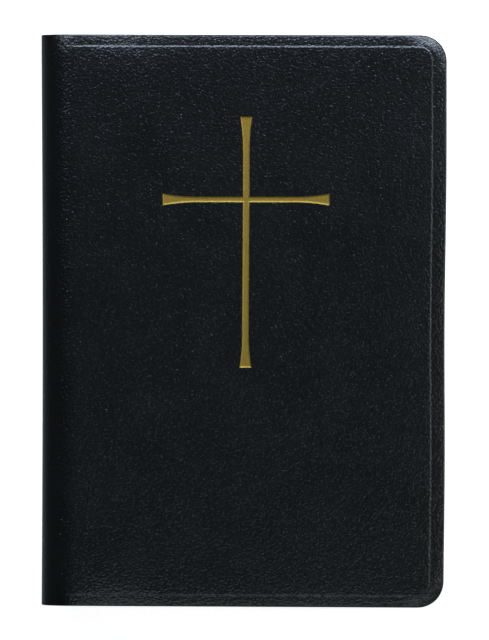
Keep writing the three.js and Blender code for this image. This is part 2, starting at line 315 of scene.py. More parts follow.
def laminate_look(tree, place):
    """A light table: matt white laminate with a barely visible tooth, lit from within so that shadows stay faint."""
    tooth = noisy(tree, place, 400.0, 2.0)
    return {"Roughness": 0.8, "Emission Color": (1, 1, 1, 1), "Emission Strength": 0.85}, {
        "Base Color": tint(tree, tooth, linear("f6f6f6"), linear("fbfbfb")),
    }


MATERIALS = {}


def material(name):
    """Each material is made once, when a piece first needs it."""
    finish = settings("finish")
    looks = {
        "leather": ("dyed_calfskin_plated_pebble_grain", leather_look),
        "foil": ("hot_stamped_gilt_foil", foil_look),
        "edge": ("burnished_edge_gilding", edge_gilt_look),
        "page": ("thin_opaque_printing_paper", paper_look, finish.page, 0.8, 0.35),
        "endpaper": ("dyed_laid_endpaper", paper_look, finish.endpaper, 0.7, 0.5),
        "card": ("rolled_grey_brown_card", paper_look, finish.card, 0.9, 0.8),
        "kraft": ("machine_glazed_kraft", paper_look, finish.kraft, 0.75, 0.6),
        "cloth": ("woven_binding_cotton", woven_look),
        "band_dark": ("wound_silk_maroon", silk_look, finish.band_dark),
        "band_light": ("wound_silk_straw", silk_look, finish.band_light),
        "floor": ("backlit_white_laminate", laminate_look),
    }
    if name not in MATERIALS:
        MATERIALS[name] = new_material(*looks[name])
    return MATERIALS[name]


# ---- Mesh helpers ----
def linked(name, data):
    """A new object in the scene."""
    made = bpy.data.objects.new(name, data)
    bpy.context.scene.collection.objects.link(made)
    return made


def new_object(name, vertices, faces, *material_names):
    mesh = bpy.data.meshes.new(name)
    mesh.from_pydata([tuple(v) for v in vertices], [], [tuple(f) for f in faces])
    mesh.validate()
    for key in material_names:
        mesh.materials.append(material(key))
    return linked(name, mesh)


def close_up(made, weld, shade_smooth=True):
    """Welds doubles, turns every face outwards and shades the surface."""
    cleaned = bmesh.new()
    cleaned.from_mesh(made.data)
    bmesh.ops.remove_doubles(cleaned, verts=cleaned.verts, dist=weld)
    bmesh.ops.recalc_face_normals(cleaned, faces=cleaned.faces)
    for face in cleaned.faces:
        face.smooth = shade_smooth
    cleaned.to_mesh(made.data)
    open_edges = sum(1 for edge in cleaned.edges if len(edge.link_faces) != 2)
    cleaned.free()
    if open_edges:
        raise RuntimeError(f"{made.name} isn't closed: {open_edges} open edges")
    if shade_smooth:
        made.data.set_sharp_from_angle(angle=math.radians(40))
    return made


def edge_line(x0, x1, half_y, radius, step, arc_steps=10):
    """A line from the spine along the tail, round the fore-edge corners and back along the head."""
    radius = max(radius, 0.3 * MM)
    along = max(1, round((x1 - radius - x0) / step))
    up = max(1, round(2 * (half_y - radius) / step))
    tail = [(x0 + (x1 - radius - x0) * i / along, -half_y) for i in range(along)]
    turn = [(math.cos(a), math.sin(a)) for a in np.linspace(-math.pi / 2, 0, arc_steps + 1)]
    low = [(x1 - radius + radius * c, -half_y + radius + radius * s) for c, s in turn]
    side = [(x1, -half_y + radius + 2 * (half_y - radius) * i / up) for i in range(1, up)]
    high = [(x, -y) for x, y in reversed(low)]
    head = [(x, -y) for x, y in reversed(tail)]
    return tail + low + side + high + head


def triangulate(loops, points, keep):
    """Triangles between closed loops and loose points, where keep says that a triangle's middle is wanted."""
    flat = []
    edges = []
    for loop, closed in loops:
        start = len(flat)
        flat.extend(loop)
        edges.extend((start + i, start + i + 1) for i in range(len(loop) - 1))
        if closed:
            edges.append((start + len(loop) - 1, start))
    flat.extend(points)
    # The triangulation works in millimetres, because its tolerance is fixed.
    scaled = [Vector((x / MM, y / MM)) for x, y in flat]
    found, _, faces, *_ = geometry.delaunay_2d_cdt(scaled, edges, [], 0, 1e-5)
    flat = np.array([(v.x * MM, v.y * MM) for v in found])
    faces = np.array([f for f in faces if len(f) == 3])
    middle = flat[faces].mean(axis=1)
    return flat, faces[keep(middle[:, 0], middle[:, 1])]


# ---- The leather's surface ----
# It is laid out flat: distance from the middle of the spine round to the fore edge, and Y.
def running_length(line):
    """The distance along a line of points to each of them."""
    return np.concatenate([[0], np.cumsum(np.hypot(*np.diff(line, axis=0).T))])


ARC_ANGLES = np.linspace(0, math.pi / 2, 400)
ARC_RUN = running_length(np.stack([-ARC_A * np.cos(ARC_ANGLES), ARC_B * np.sin(ARC_ANGLES)], axis=1))
ARC_LENGTH = ARC_RUN[-1]
FLAT_X0 = BOARD_LO.x - ARC_LENGTH  # where the spine's middle comes when the leather is laid flat


def wrap(flat_x, y, lift, side):
    """Points of the flat layout laid round the spine, lifted along the surface's normal."""
    run = flat_x - FLAT_X0
    angle = np.interp(run, ARC_RUN, ARC_ANGLES)
    beyond = np.maximum(run - ARC_LENGTH, 0)
    normal_x = -np.cos(angle) / ARC_A
    normal_z = np.sin(angle) / ARC_B
    size = np.hypot(normal_x, normal_z)
    x = BOARD_LO.x - ARC_A * np.cos(angle) + beyond + lift * normal_x / size
    z = MID_Z + ARC_B * np.sin(angle) + lift * normal_z / size
    if side == "back":
        z = THICKNESS - z
    return x, y, z


def inside_distance(x, y, x1, half_y, radius):
    """How far a point lies inside an outline that is open towards the spine."""
    over_x = x - (x1 - radius)
    over_y = np.abs(y) - (half_y - radius)
    corner = np.hypot(np.maximum(over_x, 0), np.maximum(over_y, 0))
    return radius - corner - np.minimum(np.maximum(over_x, over_y), 0)


def drift(x, y):
    """Small, slow departures of the outline from straight, as hand-turned leather has."""
    along = (x - SPINE_LO.x) / (FORE_X - SPINE_LO.x)
    v = y / END_Y
    left = (-0.1 - 0.4 * v * v) * MM
    right = (-0.3 + 0.65 * v + 0.2 * v * v + 0.32 * np.sin(math.pi * v) ** 2) * MM
    low = (0.25 - 0.8 * along) * MM
    high = (0.33 - 0.4 * along) * MM
    dx = left * (1 - along) + right * along
    dy = np.where(v < 0, low * -v, high * v)
    return dx, dy


def ripple(x, y, size, seed):
    return np.array([noise.noise(Vector((a / size, b / size, seed))) for a, b in zip(x, y)])


STEM = 1.1 * MM  # half the upright's width along its middle
ARM = 0.9 * MM  # half the crossbar's width along its middle
FLARED = 2.1 * MM  # half the width of either at its ends
FLARE = 13.5 * MM  # length over which an end widens
CROSS_CENTRE = Vector((0.8 * MM, 45.8 * MM))


def flared(middle, end, distance):
    """Half a bar's width at a distance from its end: straight, then curving out over the flare."""
    t = np.clip(1 - distance / FLARE, 0, 1)
    return middle + (end - middle) * t ** 2.2


def cross_distance(x, y):
    """How far a point lies inside the cross, below 0 outside it."""
    end_y = np.minimum(CROSS_HI.y - y, y - CROSS_LO.y)
    end_x = np.minimum(CROSS_HI.x - x, x - CROSS_LO.x)
    stem = np.minimum(flared(STEM, FLARED, end_y) - np.abs(x - CROSS_CENTRE.x), end_y)
    arm = np.minimum(flared(ARM, FLARED, end_x) - np.abs(y - CROSS_CENTRE.y), end_x)
    return np.maximum(stem, arm)


def cross_loop(grow, steps=12, shaft=10):
    """The cross's outline, grown by a distance, anticlockwise."""
    def side(middle, length_to_end):
        """Half-widths and places along one arm, from the crossing to its end."""
        places = list(np.linspace(0, length_to_end - FLARE, shaft)[1:])
        places += list(length_to_end - FLARE + FLARE * np.linspace(0, 1, steps + 1)[1:])
        widths = [float(flared(middle, FLARED, length_to_end - p)) for p in places]
        places[-1] += grow
        return list(zip(places, [w + grow for w in widths]))

    c = CROSS_CENTRE
    arms = [
        ((1, 0), side(ARM, CROSS_HI.x - c.x), STEM + grow),
        ((0, 1), side(STEM, CROSS_HI.y - c.y), ARM + grow),
        ((-1, 0), side(ARM, c.x - CROSS_LO.x), STEM + grow),
        ((0, -1), side(STEM, c.y - CROSS_LO.y), ARM + grow),
    ]
    points = []
    for (ux, uy), profile, inner in arms:
        profile = [p for p in profile if p[0] > inner + 0.4 * MM]
        out = [(c.x + ux * p + uy * w, c.y + uy * p - ux * w) for p, w in profile]
        back = [(c.x + ux * p - uy * w, c.y + uy * p + ux * w) for p, w in reversed(profile)]
        points += out + back
        points.append((c.x + ux * inner - uy * (ARM if ux else STEM) - uy * grow,
                       c.y + uy * inner + ux * (ARM if ux else STEM) + ux * grow))
    return points


PARED_RUN = 5 * MM  # the paring at the board's ends fades over this distance
PILLOW_RUN = 4 * MM  # the padding rises over this distance from the board's edge
RIM_RUN = 4.4 * MM  # the margin falls over this distance to the cover's edge
RIPPLE_SIZE = 24 * MM
RIPPLE_DEPTH = 0.05 * MM
RIPPLE_SEED = {"front": 3.0, "back": 9.0}


def outer_lift(flat_x, y, side):
    """How far the leather's outer face stands off the plain shape of the cover."""
    cover = settings("cover")
    edge = distance_to_edge(flat_x, y)
    board = distance_to_board(flat_x, y)
    on_board = smooth(BOARD_LO.x - 13 * MM, BOARD_LO.x + 1.5 * MM, flat_x)
    # The padded face falls off towards the board's edge, and further near the spine, where the board is pared thin.
    near_spine = smooth(BOARD_LO.x, BOARD_LO.x + 13 * MM, flat_x)
    near_spine = near_spine * (1 - smooth(BOARD_LO.x + 16 * MM, BOARD_LO.x + 38 * MM, flat_x))
    inside = np.maximum(board, 0)
    ends = BOARD_HI.y - np.abs(y)
    margin_width = END_Y - BOARD_HI.y
    pared = 0.42 * np.exp(-np.maximum(ends, 0) / PARED_RUN) + 0.25 * np.clip(-ends / margin_width, 0, 1)
    face = -cover.pillow * np.exp(-inside / PILLOW_RUN) - pared * MM * near_spine
    margin = face - cover.drop - cover.rim * np.clip(1 - edge / RIM_RUN, 0, 1) ** 1.6
    step = smooth(-0.5 * MM, 0.1 * MM, board)
    over_board = margin * (1 - step) + face * step
    facing_up = smooth(FLAT_X0 + 6 * MM, FLAT_X0 + 18 * MM, flat_x)
    over_spine = -0.95 * MM * facing_up * np.clip(1 - edge / (7 * MM), 0, 1) ** 2
    lift = over_spine * (1 - on_board) + over_board * on_board
    middle = edge_middle(flat_x)
    lift = middle + (lift - middle) * edge_rounding(flat_x, y)
    unevenness = ripple(flat_x, y, RIPPLE_SIZE, RIPPLE_SEED[side])
    lift = lift + RIPPLE_DEPTH * unevenness * smooth(0.1 * MM, 6 * MM, edge) * on_board
    if side == "front":
        lift = lift - cover.deboss * smooth(-0.2 * MM, 0.35 * MM, cross_distance(flat_x, y))
    return lift - corner_droop(flat_x, y)


def corner_droop(x, y):
    """The limp corners hang a little beyond the pages."""
    from_corner = np.hypot(x - FORE_X, np.abs(y) - END_Y)
    near = 1 - smooth(5 * MM, 17 * MM, from_corner)
    return settings("cover").droop * near * np.clip(1 - distance_to_edge(x, y) / (4.2 * MM), 0, 1) ** 1.2


def inner_depth(flat_x):
    """The leather's inner face: 1.5 mm down in the spine, 2.2 mm down at the turned edge of a cover."""
    return -(1.5 + 0.7 * smooth(BOARD_LO.x - 6 * MM, BOARD_LO.x - 1 * MM, flat_x)) * MM


def edge_middle(flat_x):
    """The middle of the turned edge's thickness."""
    return inner_depth(flat_x) + settings("cover").edge


def edge_rounding(x, y):
    """0 at the middle of the turned edge, and 1 where its rounding ends. Rounding errors count as on the edge."""
    edge = distance_to_edge(x, y)
    run = np.clip(np.where(edge < 1e-6, 0, edge) / settings("cover").edge, 0, 1)
    return np.sqrt(1 - (1 - run) ** 2)


def grid_points(x0, x1, half_y, step_x, step_y, keep):
    columns = np.arange(x0, x1, step_x)
    rows = np.linspace(-half_y, half_y, max(2, round(2 * half_y / step_y)) + 1)
    x, y = (a.ravel() for a in np.meshgrid(columns, rows))
    chosen = keep(x, y)
    return list(zip(x[chosen], y[chosen]))


def outline_closed(line, step):
    """The line closed by a straight side at the spine."""
    (x0, y0), (_, y1) = line[0], line[-1]
    count = max(1, round((y1 - y0) / step))
    return line + [(x0, y1 + (y0 - y1) * i / count) for i in range(1, count)]


def cover_outline(inset, step, x0=None):
    x0 = FLAT_X0 if x0 is None else x0
    return edge_line(x0, FORE_X - inset, END_Y - inset, settings("cover").corner - inset, step)


def board_outline(inset, step, x0):
    return edge_line(x0, BOARD_HI.x - inset, BOARD_HI.y - inset, settings("cover").board_corner - inset, step)


def distance_to_edge(x, y):
    return inside_distance(x, y, FORE_X, END_Y, settings("cover").corner)


def distance_to_board(x, y):
    return inside_distance(x, y, BOARD_HI.x, BOARD_HI.y, settings("cover").board_corner)


def joint_points(step_y):
    """Close columns of points where the leather bends, in the flat layout."""
    bend_x = BOARD_LO.x - 7.4 * MM
    return grid_points(bend_x, bend_x + 5.8 * MM, END_Y - 4 * MM, 0.3 * MM, step_y, lambda x, y: x > bend_x)


def outer_layout(side):
    """The outer face's points and triangles, closest together at the edge, the board's step and the cross."""
    step = settings("cover").grid
    start = BOARD_LO.x - 4 * MM
    lines = [(outline_closed(cover_outline(0, step), step), True)]
    lines += [(cover_outline(inset * MM, step), False) for inset in (0.06, 0.2, 0.4, 0.65, 1.1, 1.9, 2.8)]
    lines += [(board_outline(inset * MM, step, start), False) for inset in (-0.75, -0.5, -0.25, 0, 0.2, 0.6, 1.4)]
    if side == "front":
        lines += [(cross_loop(grow * MM), True) for grow in (0.7, 0.2, 0.08, -0.04, -0.16, -0.35, -0.6)]

    def clear(x, y):
        over = (x > start - 1 * MM) & (distance_to_board(x, y) > 2.2 * MM)
        before = (x < start - 0.5 * MM) & (distance_to_edge(x, y) > 3.6 * MM)
        free = over | before
        return free & (cross_distance(x, y) < -1.4 * MM) if side == "front" else free

    points = grid_points(start, FORE_X, END_Y, step, step, clear)
    points += grid_points(FLAT_X0, start - 0.5 * MM, END_Y, 0.9 * MM, step, clear)
    points += joint_points(step)
    return triangulate(lines, points, lambda x, y: distance_to_edge(x, y) > 0)


def inner_lift(flat_x, y):
    middle = edge_middle(flat_x)
    return middle + (inner_depth(flat_x) - middle) * edge_rounding(flat_x, y) - corner_droop(flat_x, y)


def ring_strip(lower, upper, count):
    """Quads between two closed rings of the same count, given their first indices."""
    return [(lower + i, lower + (i + 1) % count, upper + (i + 1) % count, upper + i) for i in range(count)]


POCKET_ROOF = -0.8 * MM  # the underside of the leather over the board
TURN_IN_TOP = -1.8 * MM  # the turned-in leather's hidden side, which the board rests on


def cover_leather(side):
    """One closed skin: half the spine, the joint, the face, its turned edge, the turn-ins and the board's pocket."""
    cover = settings("cover")
    step = cover.grid
    parts = []
    flat, faces = outer_layout(side)
    parts.append((flat, outer_lift(*flat.T, side), faces))

    pocket_x0 = BOARD_LO.x - 0.1 * MM
    reach = cover.turn_in
    window = edge_line(pocket_x0, BOARD_HI.x - reach, BOARD_HI.y - reach, 1 * MM, step, 4)
    pocket = edge_line(pocket_x0, BOARD_HI.x + 0.05 * MM, BOARD_HI.y + 0.05 * MM, cover.board_corner, step, 4)
    # The pocket's line takes the window's count, so that the two can be joined point to point.
    pocket = resample(pocket, len(window))
    lines = [(outline_closed(cover_outline(0, step), step), True)]
    lines += [(cover_outline(inset * MM, step), False) for inset in (0.06, 0.2, 0.4, 0.65)]
    lines.append((window, True))

    def near_window(x, y, outside):
        """Whether a point is in the window, or within a distance outside it."""
        box = inside_distance(x, y, BOARD_HI.x - reach, BOARD_HI.y - reach, 1 * MM)
        return (box > -outside) & (x > pocket_x0 - outside)

    def clear(x, y):
        return (distance_to_edge(x, y) > 1.2 * MM) & ~near_window(x, y, 1 * MM)

    points = grid_points(FLAT_X0, pocket_x0 - 1 * MM, END_Y, 0.9 * MM, 6 * MM, clear) + joint_points(6 * MM)
    points += grid_points(pocket_x0, FORE_X, END_Y, 4 * MM, 4 * MM, clear)
    flat, faces = triangulate(lines, points, lambda x, y: (distance_to_edge(x, y) > 0) & ~near_window(x, y, 0))
    parts.append((flat, inner_lift(*flat.T), faces))

    count = len(window)
    depth = float(inner_depth(np.array([0.0]))[0])
    rings = [(window, depth), (window, TURN_IN_TOP), (pocket, TURN_IN_TOP), (pocket, POCKET_ROOF)]
    flat = np.array([point for ring, _ in rings for point in ring])
    lift = np.repeat([height for _, height in rings], count)
    # Along the spine side the window's first ring lies in the curve of the leather's inner face.
    lift[:count] = inner_lift(*flat[:count].T)
    strips = [face for i in range(3) for face in ring_strip(i * count, (i + 1) * count, count)]
    strips.append(tuple(range(3 * count, 4 * count)))
    parts.append((flat, lift, strips))
    return skin(f"{side}_leather", parts, side)


def resample(line, count):
    """The same line with another number of evenly spaced points."""
    line = np.array(line)
    run = running_length(line)
    at = np.linspace(0, run[-1], count)
    return list(zip(np.interp(at, run, line[:, 0]), np.interp(at, run, line[:, 1])))


def skin(name, parts, side):
    """Joins surfaces laid round the spine, and closes them along the middle of the spine."""
    vertices = []
    faces = []
    seams = []
    for flat, lift, part_faces in parts:
        start = len(vertices)
        dx, dy = drift(*flat.T)
        x, y, z = wrap(*flat.T, lift, side)
        vertices.extend(zip(x + dx, y + dy, z))
        faces.extend(tuple(start + i for i in face) for face in part_faces)
        on_seam = [start + i for i in np.flatnonzero(flat[:, 0] < FLAT_X0 + 1e-7)]
        seams.append(sorted(on_seam, key=lambda i: vertices[i][1]))
    outer, inner = seams[0], seams[1]
    faces.append(tuple(outer + inner[::-1]))
    made = new_object(name, vertices, faces, "leather")
    return close_up(made, 2e-7)


def slab(name, flat, faces, top, bottom, *material_names):
    """A closed sheet between two sets of heights over one flat layout."""
    count = len(flat)
    vertices = [(x, y, z) for (x, y), z in zip(flat, top)] + [(x, y, z) for (x, y), z in zip(flat, bottom)]
    edges = {}
    for face in faces:
        for a, b in zip(face, np.roll(face, -1)):
            edges[(a, b)] = edges.get((a, b), 0) + 1
    rim = [(a, b) for a, b in edges if (b, a) not in edges]
    walls = [(b, a, a + count, b + count) for a, b in rim]
    solid = [tuple(f) for f in faces] + [tuple(i + count for i in reversed(f)) for f in faces] + walls
    made = new_object(name, vertices, solid, *material_names)
    return close_up(made, 1e-9)


def gilt_cross():
    """The foil follows the leather down the pressed walls and over the floor."""
    lines = [(cross_loop(grow * MM), True) for grow in (0.1, 0.04, -0.04, -0.16, -0.35, -0.6)]
    flat, faces = triangulate(lines, [], lambda x, y: cross_distance(x, y) > -0.1 * MM)
    lift = outer_lift(*flat.T, "front")
    moved = flat + np.stack(drift(*flat.T), axis=1)
    top = THICKNESS + lift + 0.03 * MM
    return slab("gilt_cross_foil", moved, faces, top, top - 0.05 * MM, "foil")


def sheet_layout(x0, x1, half_y, radius, bend_to):
    """A leaf's outline with close columns of points from its gutter to where it stops bending."""
    line = edge_line(x0, x1, half_y, radius, 8 * MM, 8)
    columns = [(x, y) for x in np.arange(x0, bend_to, GUTTER_CUT) for y in (-half_y, half_y)]
    points = [(x, y) for x in np.arange(x0 + GUTTER_CUT, bend_to, GUTTER_CUT)
              for y in np.linspace(-half_y, half_y, 15)]
    points += grid_points(bend_to + 8 * MM, x1 - 7 * MM, half_y - 9 * MM, 12 * MM, 12 * MM, lambda x, y: x > x0)
    return triangulate([(line, True)], points + columns[2:],
                       lambda x, y: inside_distance(x, y, x1, half_y, radius) > 0)


PASTEDOWN_THICKNESS = 0.16 * MM
PASTEDOWN_SINK = 0.28 * MM  # how far it sinks inside the turned-in leather's edge


def pastedown(side):
    """The endpaper's glued half. It sinks where the turned-in leather ends under it."""
    cover = settings("cover")
    page = settings("page")
    start = FRONT_PIVOT.x + 1.2 * MM
    reach = cover.turn_in
    extra = [(edge_line(BOARD_LO.x - inset * MM, BOARD_HI.x - reach + inset * MM, BOARD_HI.y - reach + inset * MM,
                        2 * MM, 6 * MM, 6), True) for inset in (1.2, 0.6, 0, -0.6)]
    line = edge_line(start, PASTE_HI.x, PASTE_HI.y, page.corner, 6 * MM, 8)
    columns = [(x, y) for x in np.arange(start + 0.6 * MM, BOARD_LO.x - 1.5 * MM, 0.6 * MM)
               for y in np.linspace(-PASTE_HI.y, PASTE_HI.y, 21)]
    flat, faces = triangulate([(line, True)] + extra, columns,
                              lambda x, y: inside_distance(x, y, PASTE_HI.x, PASTE_HI.y, page.corner) > 0)
    x, y = flat.T
    window = np.minimum(inside_distance(x, y, BOARD_HI.x - reach, BOARD_HI.y - reach, 2 * MM), x - BOARD_LO.x)
    sink = PASTEDOWN_SINK * smooth(-1.2 * MM, 0.6 * MM, window)
    top = inner_depth(x) - 0.02 * MM + sink
    px, py, top_z = wrap(x, y, top, side)
    _, _, bottom_z = wrap(x, y, top - PASTEDOWN_THICKNESS, side)
    return slab(f"{side}_pastedown_sheet", np.stack([px, py], axis=1), faces, top_z, bottom_z, "endpaper")


def turning_leaf(name, node, thickness_mm, bend_mm, material_name):
    low, high = corners(node)
    start = FRONT_PIVOT.x + GUTTER_START
    flat, faces = sheet_layout(start, high.x, high.y, settings("page").corner, start + bend_mm * MM)
    middle = (low.z + high.z) / 2
    half = thickness_mm * MM / 2
    count = len(flat)
    return slab(name, flat, faces, np.full(count, middle + half), np.full(count, middle - half), material_name)


# ---- The sewn sections ----
def leaf_blank(width, half_y, radius, thickness, cuts):
    """One leaf with its fold at X = 0, its trimmed edges marked for gilding."""
    line = edge_line(0, width, half_y, radius, 1.0, 6)
    rows = [(x, s * half_y) for x in cuts for s in (-1, 1)]
    flat, faces = triangulate([(line, True)], rows, lambda x, y: inside_distance(x, y, width, half_y, radius) > 0)
    made = slab("leaf_blank", flat, faces, np.full(len(flat), thickness), np.zeros(len(flat)))
    mesh = made.data
    trimmed = mesh.attributes.new("trimmed", "BOOLEAN", "FACE")
    for face in mesh.polygons:
        face.use_smooth = False
        trimmed.data[face.index].value = abs(face.normal.z) < 0.5 and face.center.x > 0.01 * MM
    return made


def node_group(name, geometry_name, floats, whole_numbers):
    """A geometry node tree with its sockets, and what it is given."""
    tree = bpy.data.node_groups.new(name, "GeometryNodeTree")
    kinds = {"Geometry": (geometry_name,), "Float": floats, "Int": whole_numbers}
    for kind, names in kinds.items():
        for each in names:
            tree.interface.new_socket(each, in_out="INPUT", socket_type=f"NodeSocket{kind}")
    tree.interface.new_socket("Result", in_out="OUTPUT", socket_type="NodeSocketGeometry")
    return tree, add_node(tree, "NodeGroupInput").outputs


def vector(tree, **parts):
    return first_output(tree, "ShaderNodeCombineXYZ", None, parts)


def two_materials(tree, shape, first, second, attribute):
    """Ends a tree with one material, and another where a stored attribute is true."""
    plain = first_output(tree, "GeometryNodeSetMaterial", {"Material": material(first)}, {"Geometry": shape})
    chosen = first_output(tree, "GeometryNodeInputNamedAttribute", {"Name": attribute}, data_type="BOOLEAN")
    both = first_output(tree, "GeometryNodeSetMaterial", {"Material": material(second)},
                        {"Geometry": plain, "Selection": chosen})
    add_node(tree, "NodeGroupOutput", None, {0: both})
    return tree


def leaf_stack_tree():
    """Stacks copies of a leaf up from a height, each a little out of line, to the curve of the block's back."""
    tree, given = node_group("leaf_stack", "Leaf", ("Pitch", "Start height", "Slip", "Rounding", "Middle height",
                                                    "Centre"), ("Leaves", "Seed"))
    line = first_output(tree, "GeometryNodeMeshLine", None,
                        {"Count": given["Leaves"], "Start Location": vector(tree, Z=given["Start height"]),
                         "Offset": vector(tree, Z=given["Pitch"])})
    position = first_output(tree, "GeometryNodeInputPosition")
    height = add_node(tree, "ShaderNodeSeparateXYZ", None, {0: position}).outputs["Z"]
    off = maths(tree, "SUBTRACT", height, given["Middle height"])
    radius_squared = maths(tree, "MULTIPLY", given["Rounding"], given["Rounding"])
    square = maths(tree, "SUBTRACT", radius_squared, maths(tree, "MULTIPLY", off, off))
    fold = maths(tree, "SUBTRACT", given["Centre"], maths(tree, "SQRT", square))
    slip = given["Slip"]
    less = maths(tree, "MULTIPLY", slip, -1.0)
    slips = first_output(tree, "FunctionNodeRandomValue", None,
                         {"Seed": given["Seed"], 0: vector(tree, X=less, Y=less), 1: vector(tree, X=slip, Y=slip)},
                         data_type="FLOAT_VECTOR")
    placed = first_output(tree, "ShaderNodeVectorMath", None, {0: slips, 1: vector(tree, X=fold)}, operation="ADD")
    moved = first_output(tree, "GeometryNodeSetPosition", None, {"Geometry": line, "Offset": placed})
    copies = first_output(tree, "GeometryNodeInstanceOnPoints", None, {"Points": moved, "Instance": given["Leaf"]})
    real = first_output(tree, "GeometryNodeRealizeInstances", None, {0: copies})
    return two_materials(tree, real, "page", "edge", "trimmed")


def apply_nodes(made, tree, values):
    """Runs a node tree on an object, leaves a plain mesh and removes the modifier."""
    modifier = made.modifiers.new(tree.name, "NODES")
    modifier.node_group = tree
    names = {item.name: item.identifier for item in tree.interface.items_tree if item.in_out == "INPUT"}
    for name, value in values.items():
        modifier[names[name]] = value
    depsgraph = bpy.context.evaluated_depsgraph_get()
    result = bpy.data.meshes.new_from_object(made.evaluated_get(depsgraph))
    made.modifiers.remove(modifier)
    old = made.data
    made.data = result
    bpy.data.meshes.remove(old)
    return made


def fold_strip(x0, z0, z1, half_y):
    """The rounded fold of a section, a closed strip as long as the page is high."""
    radius = (z1 - z0) / 2
    profile = [(x0 + radius - radius * math.sin(a), z0 + radius - radius * math.cos(a))
               for a in np.linspace(0, math.pi, 7)]
    profile += [(x0 + 3 * radius, z1), (x0 + 3 * radius, z0)]
    count = len(profile)
    vertices = [(x, s * half_y, z) for s in (-1, 1) for x, z in profile]
    faces = ring_strip(0, count, count) + [tuple(range(count)), tuple(range(count, 2 * count))]
    return close_up(new_object("fold_strip", vertices, faces, "page"), 1e-9, shade_smooth=False)


def join(made, other):
    """Adds another object's mesh to made's, with its materials."""
    bpy.ops.object.select_all(action="DESELECT")
    other.select_set(True)
    made.select_set(True)
    bpy.context.view_layer.objects.active = made
    bpy.ops.object.join()
    return made


def block_centre():
    """X of the middle of the circle that the block's back is rounded to."""
    return min(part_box(name)[0][0] for name in SECTIONS) + settings("page").back_radius


def sewn_section(node, seed, tree):
    page = settings("page")
    low, high = corners(node)
    pitch = (high.z - low.z) / page.leaves
    moving = node in MOVING_LEAVES
    cuts = list(np.arange(GUTTER_CUT, GUTTER_REACH, GUTTER_CUT)) if moving else []
    radius = (high.z - low.z) / 2
    made = leaf_blank(high.x - low.x, high.y, page.corner, 0.88 * pitch, cuts)
    made.name = f"{node}_leaves"
    apply_nodes(made, tree, {
        "Leaves": page.leaves,
        "Pitch": pitch,
        "Start height": low.z + 0.06 * pitch,
        "Slip": page.slip,
        "Rounding": page.back_radius,
        "Middle height": MID_Z,
        "Centre": block_centre() + radius * 0.9,
        "Seed": seed,
    })
    return join(made, fold_strip(low.x, low.z, high.z, high.y))


# ---- Head and tail bands ----
def band_tree():
    """Winds loops of thread round a line, in stripes of two colours."""
    tree, given = node_group("wound_band", "Line", ("Band radius", "Thread radius"), ("Loops", "Stripe"))
    curve = first_output(tree, "GeometryNodeMeshToCurve", None, {0: given["Line"]})
    even = first_output(tree, "GeometryNodeResampleCurve", None, {"Curve": curve, "Count": given["Loops"]})
    points = add_node(tree, "GeometryNodeCurveToPoints", None, {"Curve": even}, mode="EVALUATED").outputs
    hoop, thread = (first_output(tree, "GeometryNodeCurvePrimitiveCircle", {"Resolution": corners_round},
                                 {"Radius": given[radius]})
                    for corners_round, radius in ((12, "Band radius"), (6, "Thread radius")))
    loop = first_output(tree, "GeometryNodeCurveToMesh", None, {"Curve": hoop, "Profile Curve": thread})
    wound = first_output(tree, "GeometryNodeInstanceOnPoints", None,
                         {"Points": points[0], "Instance": loop, "Rotation": points["Rotation"]})
    group = maths(tree, "DIVIDE", first_output(tree, "GeometryNodeInputIndex"), given["Stripe"])
    light = maths(tree, "MODULO", maths(tree, "FLOOR", group), 2.0)
    stored = first_output(tree, "GeometryNodeStoreNamedAttribute", {"Name": "light"},
                          {"Geometry": wound, "Value": light}, data_type="BOOLEAN", domain="INSTANCE")
    real = first_output(tree, "GeometryNodeRealizeInstances", None, {0: stored})
    return two_materials(tree, real, "band_dark", "band_light", "light")


def wound_band(name, node, tree):
    low, high = corners(node)
    radius = (high.y - low.y) / 2
    y = (low.y + high.y) / 2
    line_radius = settings("page").back_radius - radius - 0.2 * MM
    reach = 0.6  # radians to each side of the block's middle
    line = [(block_centre() - line_radius * math.cos(a), y, MID_Z + line_radius * math.sin(a))
            for a in np.linspace(-reach, reach, 41)]
    mesh = bpy.data.meshes.new(name)
    mesh.from_pydata(line, [(i, i + 1) for i in range(40)], [])
    made = linked(name, mesh)
    apply_nodes(made, tree, {"Loops": 64, "Band radius": radius - 0.2 * MM, "Thread radius": 0.2 * MM, "Stripe": 4})
    for face in made.data.polygons:
        face.use_smooth = True
    return made


# ---- Operators ----
def give(made, slot, *replaced):
    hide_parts(*replaced)
    return made


def bend_with_cover(made):
    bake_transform(made)


def bend_at_gutter(made):
    """Bakes a leaf's placement into its mesh; it bends nothing."""
    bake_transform(made)


class BOOK_OT_leather(bpy.types.Operator):
    """Makes the leather of both covers, the spine and the joints"""
    bl_idname = "book.leather"
    bl_label = "Leather Covers"

    def execute(self, context):
        for side in ("front", "back"):
            made = cover_leather(side)
            give(made, "black_leather", f"{side}_cover_leather", f"{side}_joint_leather", "spine_leather")
            bend_with_cover(made)
        return {"FINISHED"}


class BOOK_OT_cross(bpy.types.Operator):
    """Stamps the gilt cross into the front cover"""
    bl_idname = "book.cross"
    bl_label = "Gilt Cross"

    def execute(self, context):
        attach(give(gilt_cross(), "gilt_foil", "gilt_cross"), "front_cover")
        return {"FINISHED"}


